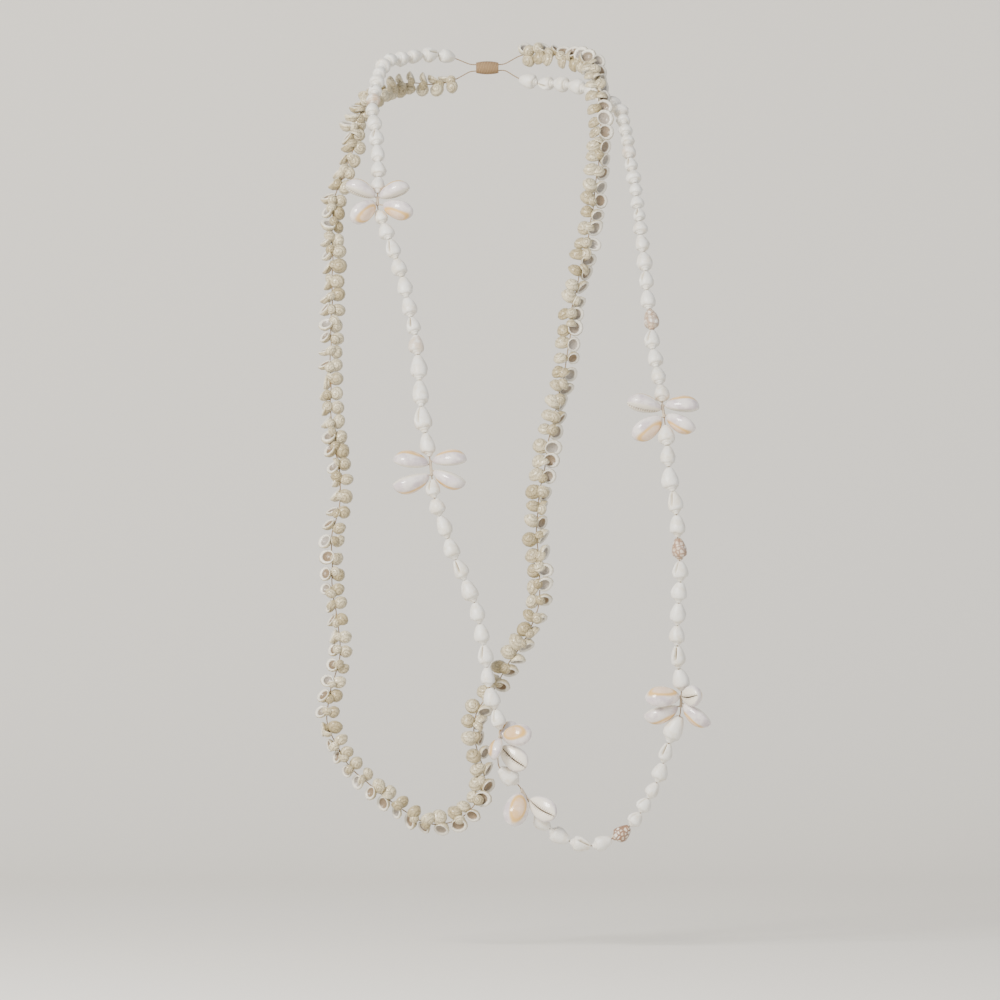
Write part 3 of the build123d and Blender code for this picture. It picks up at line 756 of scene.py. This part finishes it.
def mottle_group():
    """Broad and fine noise in object space, which every shell and the thread use."""
    group, entry, out = new_group(
        "mottle",
        [("Broad Scale", "NodeSocketFloat", 200.0), ("Fine Scale", "NodeSocketFloat", 1500.0)],
        [("Broad", "NodeSocketFloat"), ("Fine", "NodeSocketFloat")],
    )
    place = group.nodes.new("ShaderNodeTexCoord").outputs["Object"]
    for name, detail in (("Broad", 3.0), ("Fine", 2.0)):
        noise = add(group, "ShaderNodeTexNoise", {
            "Vector": place, "Scale": entry.outputs[f"{name} Scale"], "Detail": detail, "Roughness": 0.6,
        })
        group.links.new(noise.outputs[0], out.inputs[name])
    return group


def speckle_group():
    """Small round dots in object space, with soft edges."""
    group, entry, out = new_group(
        "speckle",
        [("Scale", "NodeSocketFloat", 1500.0), ("Size", "NodeSocketFloat", 0.3)],
        [("Dots", "NodeSocketFloat")],
    )
    place = group.nodes.new("ShaderNodeTexCoord").outputs["Object"]
    cells = add(group, "ShaderNodeTexVoronoi", {"Vector": place, "Scale": entry.outputs["Scale"]})
    smaller = maths(group, "MULTIPLY", entry.outputs["Size"], 0.6)
    dots = between(group, cells.outputs["Distance"], entry.outputs["Size"], smaller)
    group.links.new(dots, out.inputs["Dots"])
    return group


def stripe_group():
    """Fine lines across a value, such as growth lines along a shell: a wave that noise pushes about."""
    group, entry, out = new_group(
        "stripes",
        [("Value", "NodeSocketFloat", 0.0), ("Count", "NodeSocketFloat", 10.0),
         ("Push", "NodeSocketFloat", 0.0)],
        [("Lines", "NodeSocketFloat")],
    )
    counted = maths(group, "MULTIPLY", entry.outputs["Value"], entry.outputs["Count"])
    pushed = maths(group, "ADD", counted, entry.outputs["Push"])
    wave = maths(group, "SINE", maths(group, "MULTIPLY", pushed, TURN))
    lines = maths(group, "MULTIPLY", maths(group, "ADD", wave, 1.0), 0.5)
    group.links.new(lines, out.inputs["Lines"])
    return group


MOTTLE = mottle_group()
SPECKLE = speckle_group()
STRIPES = stripe_group()


def use(tree, group, **inputs):
    """A group in a material, with its inputs by name, spaces written as underscores."""
    made = tree.nodes.new("ShaderNodeGroup")
    made.node_tree = group
    for key, value in inputs.items():
        socket = made.inputs[key.replace("_", " ")]
        if isinstance(value, bpy.types.NodeSocket):
            tree.links.new(value, socket)
        else:
            socket.default_value = value
    return made


def attribute(tree, name):
    """The red, green, blue and alpha of a colour attribute."""
    read = add(tree, "ShaderNodeAttribute", attribute_name=name)
    parts = add(tree, "ShaderNodeSeparateColor", {0: read.outputs["Color"]})
    return (*parts.outputs[:3], read.outputs["Alpha"])


def new_material(name):
    """An empty material and its tree, Principled shader and output."""
    material = bpy.data.materials.new(name)
    material.use_nodes = True
    tree = material.node_tree
    shader = next(node for node in tree.nodes if node.type == "BSDF_PRINCIPLED")
    return material, tree, shader


def finish_surface(tree, shader, colour, height, distance):
    """Colour and a bump of the given depth in metres onto a shader."""
    tree.links.new(colour, shader.inputs["Base Color"])
    bumped = add(tree, "ShaderNodeBump", {"Height": height, "Distance": distance, "Strength": 1.0})
    tree.links.new(bumped.outputs["Normal"], shader.inputs["Normal"])


def dove_material():
    material, tree, shader = new_material("dove_shell_white")
    cut, suture_shade, along, _ = attribute(tree, "marks")
    tan, net, tone, _ = attribute(tree, "tint")
    mottle = use(tree, MOTTLE, Broad_Scale=260.0, Fine_Scale=2200.0)
    lines = use(tree, STRIPES, Value=along, Count=22.0, Push=mottle.outputs["Broad"])
    patchy = between(tree, maths(tree, "ADD", mottle.outputs["Broad"], maths(tree, "MULTIPLY", tone, 0.12)), 0.5, 0.75)
    colour = mixed(tree, maths(tree, "MULTIPLY", patchy, 0.55), DOVE_WHITE, DOVE_CREAM)
    colour = mixed(tree, maths(tree, "MULTIPLY", tan, between(tree, mottle.outputs["Broad"], 0.3, 0.6)), colour, DOVE_TAN)
    place = tree.nodes.new("ShaderNodeTexCoord").outputs["Object"]
    cells = add(tree, "ShaderNodeTexVoronoi", {"Vector": place, "Scale": 420.0}, feature="DISTANCE_TO_EDGE")
    mesh = between(tree, cells.outputs["Distance"], 0.24, 0.08)
    colour = mixed(tree, maths(tree, "MULTIPLY", net, mesh), colour, DOVE_NET)
    # Painted shade: cream darkening in the suture grooves
    colour = mixed(tree, maths(tree, "MULTIPLY", suture_shade, 0.35), colour, DOVE_CREAM)
    colour = mixed(tree, maths(tree, "MULTIPLY", between(tree, cut, 0.15, 0.55), 0.6), colour, DOVE_CREAM)
    # Painted shade: dark brown down the middle of the slit, where the mouth opens into the hollow shell
    colour = mixed(tree, between(tree, cut, 0.62, 0.98), colour, DOVE_SLIT_SHADE)
    height = maths(tree, "ADD", maths(tree, "MULTIPLY", lines.outputs[0], 0.25), mottle.outputs["Fine"])
    finish_surface(tree, shader, colour, height, 0.00012)
    shader.inputs["Roughness"].default_value = 0.38
    shader.inputs["Coat Weight"].default_value = 0.15
    shader.inputs["Coat Roughness"].default_value = 0.2
    return material


def cowrie_material():
    material, tree, shader = new_material("cowrie_shell_ringed")
    along, across, ring, tone = attribute(tree, "marks")
    mottle = use(tree, MOTTLE, Broad_Scale=160.0, Fine_Scale=1100.0)
    push = maths(tree, "MULTIPLY", maths(tree, "SUBTRACT", mottle.outputs["Broad"], 0.5), 0.10)
    ring = maths(tree, "ADD", ring, push)
    side = mixed(tree, between(tree, mottle.outputs["Broad"], 0.38, 0.66), COWRIE_SIDE, COWRIE_LILAC)
    back = mixed(tree, between(tree, maths(tree, "ADD", mottle.outputs["Broad"], maths(tree, "MULTIPLY", tone, 0.3)), 0.45, 0.8), COWRIE_BACK, COWRIE_PEACH)
    colour = mixed(tree, between(tree, ring, 0.54, 0.44), side, back)
    band = maths(tree, "MULTIPLY", between(tree, ring, 0.36, 0.47), between(tree, ring, 0.62, 0.50))
    colour = mixed(tree, maths(tree, "MULTIPLY", band, 0.80), colour, COWRIE_RING)
    colour = mixed(tree, between(tree, across, 0.50, 0.38), colour, COWRIE_BASE)
    teeth = use(tree, STRIPES, Value=along, Count=15.0, Push=0.0).outputs[0]
    toothed = maths(tree, "MULTIPLY", between(tree, across, 0.015, 0.04), between(tree, across, 0.20, 0.10))
    groove = maths(tree, "MULTIPLY", toothed, between(tree, teeth, 0.45, 0.15))
    # Painted shade: brown in the grooves between the teeth, which the bump below also cuts
    colour = mixed(tree, maths(tree, "MULTIPLY", groove, 0.55), colour, COWRIE_TOOTH_GAP_SHADE)
    # Painted shade: near black down the middle of the slit, into the hollow shell
    colour = mixed(tree, between(tree, across, 0.035, 0.015), colour, COWRIE_SLIT_SHADE)
    height = maths(tree, "SUBTRACT", maths(tree, "MULTIPLY", mottle.outputs["Fine"], 0.15), groove)
    finish_surface(tree, shader, colour, height, 0.00030)
    shader.inputs["Roughness"].default_value = 0.22
    shader.inputs["Coat Weight"].default_value = 0.6
    shader.inputs["Coat Roughness"].default_value = 0.08
    return material


def button_material():
    material, tree, shader = new_material("button_shell_khaki")
    across, cosine, sine, tone = attribute(tree, "marks")
    mottle = use(tree, MOTTLE, Broad_Scale=220.0, Fine_Scale=1500.0)
    dots = use(tree, SPECKLE, Scale=1300.0, Size=0.42).outputs[0]
    angle = maths(tree, "ARCTAN2", maths(tree, "SUBTRACT", sine, 0.5), maths(tree, "SUBTRACT", cosine, 0.5))
    turns = maths(tree, "MULTIPLY", angle, 1 / TURN)
    spiral = use(tree, STRIPES, Value=across, Count=5.0, Push=turns).outputs[0]
    suture = between(tree, spiral, 0.45, 0.0)
    shade = maths(tree, "ADD", maths(tree, "MULTIPLY", tone, 0.5), maths(tree, "MULTIPLY", mottle.outputs["Broad"], 0.5))
    colour = mixed(tree, between(tree, shade, 0.25, 0.75), BUTTON_SHELL, BUTTON_PALE)
    colour = mixed(tree, maths(tree, "MULTIPLY", dots, 0.5), colour, BUTTON_DARK)
    dome = between(tree, across, 0.52, 0.44)
    # Painted shade: darker along the spiral groove on the dome, which the bump below also cuts
    colour = mixed(tree, maths(tree, "MULTIPLY", maths(tree, "MULTIPLY", suture, dome), 0.35), colour, BUTTON_DARK)
    colour = mixed(tree, maths(tree, "MULTIPLY", between(tree, across, 0.50, 0.58), 0.9), colour, BUTTON_RIM)
    # Painted shade: the mouth's hollow darkened, from brown to grey by each shell's tone
    inside = mixed(tree, between(tree, tone, 0.3, 0.8), BUTTON_MOUTH_SHADE, BUTTON_MOUTH_SHADE_GREY)
    colour = mixed(tree, between(tree, across, 0.68, 0.82), colour, inside)
    bumps = maths(tree, "ADD", maths(tree, "MULTIPLY", mottle.outputs["Fine"], 0.8), maths(tree, "MULTIPLY", dots, 0.4))
    height = maths(tree, "SUBTRACT", bumps, maths(tree, "MULTIPLY", suture, dome))
    finish_surface(tree, shader, colour, height, 0.00030)
    shader.inputs["Roughness"].default_value = 0.30
    shader.inputs["Coat Weight"].default_value = 0.35
    shader.inputs["Coat Roughness"].default_value = 0.15
    return material


def thread_material(name, wraps, dark, light):
    """Twisted thread. Wraps are how many turns of it lie side by side in a metre along X."""
    material, tree, shader = new_material(name)
    mottle = use(tree, MOTTLE, Broad_Scale=500.0, Fine_Scale=4000.0)
    place = tree.nodes.new("ShaderNodeTexCoord").outputs["Object"]
    parts = add(tree, "ShaderNodeSeparateXYZ", {0: place})
    slanted = maths(tree, "ADD", parts.outputs[0], maths(tree, "MULTIPLY", parts.outputs[2], 0.2))
    lines = use(tree, STRIPES, Value=slanted, Count=wraps, Push=mottle.outputs["Broad"]).outputs[0]
    colour = mixed(tree, maths(tree, "MULTIPLY", lines, mottle.outputs["Fine"]), dark, light)
    height = maths(tree, "ADD", lines, maths(tree, "MULTIPLY", mottle.outputs["Fine"], 0.4))
    finish_surface(tree, shader, colour, height, 0.0002)
    shader.inputs["Roughness"].default_value = 0.85
    return material


def floor_material():
    material, tree, shader = new_material("floor_pale")
    mottle = use(tree, MOTTLE, Broad_Scale=3.0, Fine_Scale=400.0)
    colour = mixed(tree, maths(tree, "MULTIPLY", mottle.outputs["Broad"], 0.08), FLOOR_PALE, BUTTON_PALE)
    finish_surface(tree, shader, colour, mottle.outputs["Fine"], 0.0001)
    shader.inputs["Roughness"].default_value = 0.9
    out = next(node for node in tree.nodes if node.type == "OUTPUT_MATERIAL")
    facing = tree.nodes.new("ShaderNodeNewGeometry").outputs["Backfacing"]
    clear = tree.nodes.new("ShaderNodeBsdfTransparent")
    one_sided = add(tree, "ShaderNodeMixShader", {0: facing, 1: shader.outputs[0], 2: clear.outputs[0]})
    tree.links.new(one_sided.outputs[0], out.inputs["Surface"])
    return material


# The necklace

def build_doves(joints, kinds):
    """The white string in the same two pieces as in the frame."""
    shells = dove_string(joints, kinds)
    tints = dove_tints(np.array([middle for _, middle, _, _ in shells]))
    faces = closed_grid(len(DOVE_PROFILE), DOVE_COLUMNS)
    material = dove_material()
    for half in ("left", "right"):
        picked = [number for number, shell in enumerate(shells) if shell[0] == half]
        points, starts = joined([shells[number][2] for number in picked])
        piece = new_piece(f"dove_shells_{half}_dressed", points, repeated(faces, starts), material)
        give_attribute(piece, "marks", np.vstack([shells[number][3] for number in picked]))
        give_attribute(piece, "tint", np.repeat(tints[picked], len(shells[0][2]), axis=0))
        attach(piece, "root")
        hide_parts(f"dove_shells_{half}")


def build_buttons(joints, kinds):
    """The beige string in the same two pieces as in the frame."""
    shells = button_string(joints, kinds)
    faces = turned_over(closed_grid(len(BUTTON_PROFILE), BUTTON_COLUMNS))
    material = button_material()
    for half in ("left", "right"):
        picked = [shell for shell in shells if shell[0] == half]
        points, starts = joined([shell[1] for shell in picked])
        piece = new_piece(f"button_shells_{half}_dressed", points, repeated(faces, starts), material)
        give_attribute(piece, "marks", np.vstack([shell[2] for shell in picked]))
        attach(piece, "root")
        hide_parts(f"button_shells_{half}")


def build_cowries(joints, kinds):
    """Each cowrie of the six flowers as a piece of its own."""
    material = cowrie_material()
    flowers = [index for index, kind in enumerate(kinds) if kind == "flower"]
    for number, (index, cowries) in enumerate(zip(flowers, FLOWERS), start=1):
        for name, points, marks in cowrie_shells(joints[index], joints[index + 1], cowries, number):
            faces = closed_grid(COWRIE_RINGS, (len(points) - 2) // COWRIE_RINGS)
            piece = new_piece(f"{name}_dressed", points, faces, material)
            give_attribute(piece, "marks", marks)
            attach(piece, "root")
            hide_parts(name)


def dress_threads():
    """Thread finishes on the strings' threads, the flower ties and the knot at the nape."""
    cord = thread_material("thread_twisted", 900.0, THREAD_DARK, THREAD_TAN)
    tied = thread_material("thread_tied", 900.0, TIE_SHADE, TIE_PALE)
    wrapped = thread_material("thread_wrapped", 1100.0, THREAD_DARK, THREAD_TAN)
    for name in ("dove_thread", "button_thread"):
        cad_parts[name].material_slots[0].material = cord
    for number in range(len(FLOWERS)):
        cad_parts[f"flower_tie_{number + 1}"].material_slots[0].material = tied
    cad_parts["nape_knot"].material_slots[0].material = wrapped


dove_joints, dove_kinds = string_stops(
    DOVE_ROUTE, knot_end(-1, SOCKET_SPREAD), knot_end(1, -SOCKET_SPREAD), seed=1
)
button_joints, button_kinds = button_stops(knot_end(-1, -SOCKET_SPREAD), knot_end(1, SOCKET_SPREAD), seed=5)
build_doves(dove_joints, dove_kinds)
build_buttons(button_joints, button_kinds)
build_cowries(dove_joints, dove_kinds)
dress_threads()


# Floor, light and camera

FLOOR_Z = -0.50
FLOOR_FRONT = -2.5
COVE_Y = 0.75
COVE_RADIUS = 0.6
WALL_TOP = 1.8
FLOOR_HALF_WIDTH = 3.0
PHOTO_WIDTH = 0.56
PHOTO_CENTRE = (0.0073, -0.14, -0.249)
CAMERA_DISTANCE = 5.0
SENSOR_WIDTH = 0.036


def build_cove():
    """A floor that curves up into a wall behind the necklace, as one profile drawn out sideways."""
    bend = np.linspace(0, math.pi / 2, 17)
    y = np.concatenate([[FLOOR_FRONT], COVE_Y + COVE_RADIUS * np.sin(bend), [COVE_Y + COVE_RADIUS]])
    z = np.concatenate([[FLOOR_Z], FLOOR_Z + COVE_RADIUS * (1 - np.cos(bend)), [WALL_TOP]])
    profile = np.stack([np.zeros_like(y), y, z], -1)
    reach = np.array([FLOOR_HALF_WIDTH, 0, 0])
    points = np.vstack([profile - reach, profile + reach]) / MM
    index = np.arange(len(y) - 1)
    faces = np.stack([index, index + len(y), index + len(y) + 1, index + 1], -1)
    new_piece("cove", points, [faces], floor_material())


def area_light(name, place, target, size, power, colour):
    """A square soft light that faces the target."""
    light = bpy.data.lights.new(name, "AREA")
    light.size = size
    light.energy = power
    light.color = colour
    lamp = bpy.data.objects.new(name, light)
    lamp.location = place
    heading = mathutils.Vector(target) - mathutils.Vector(place)
    lamp.rotation_euler = heading.to_track_quat("-Z", "Y").to_euler()
    bpy.context.scene.collection.objects.link(lamp)


def build_camera():
    """A long lens straight in front, framed as the photo is."""
    camera = bpy.data.cameras.new("camera")
    camera.sensor_width = 1000 * SENSOR_WIDTH
    camera.lens = 1000 * SENSOR_WIDTH * CAMERA_DISTANCE / PHOTO_WIDTH
    camera.clip_end = 100.0
    stand = bpy.data.objects.new("camera", camera)
    x, y, z = PHOTO_CENTRE
    stand.location = (x, y - CAMERA_DISTANCE, z)
    stand.rotation_euler = (math.pi / 2, 0, 0)
    bpy.context.scene.collection.objects.link(stand)
    bpy.context.scene.camera = stand


def build_world():
    """An even pale sky."""
    world = bpy.data.worlds.new("studio")
    world.use_nodes = True
    sky = next(node for node in world.node_tree.nodes if node.type == "BACKGROUND")
    sky.inputs["Color"].default_value = (0.93, 0.95, 1.0, 1.0)
    sky.inputs["Strength"].default_value = 0.62
    bpy.context.scene.world = world


build_cove()
build_world()
area_light("key_light", (-1.3, -1.9, 0.9), PHOTO_CENTRE, 1.0, 115.0, (1.0, 0.97, 0.92))
area_light("fill_light", (1.8, -1.6, 0.1), PHOTO_CENTRE, 1.6, 14.0, (0.92, 0.95, 1.0))
build_camera()
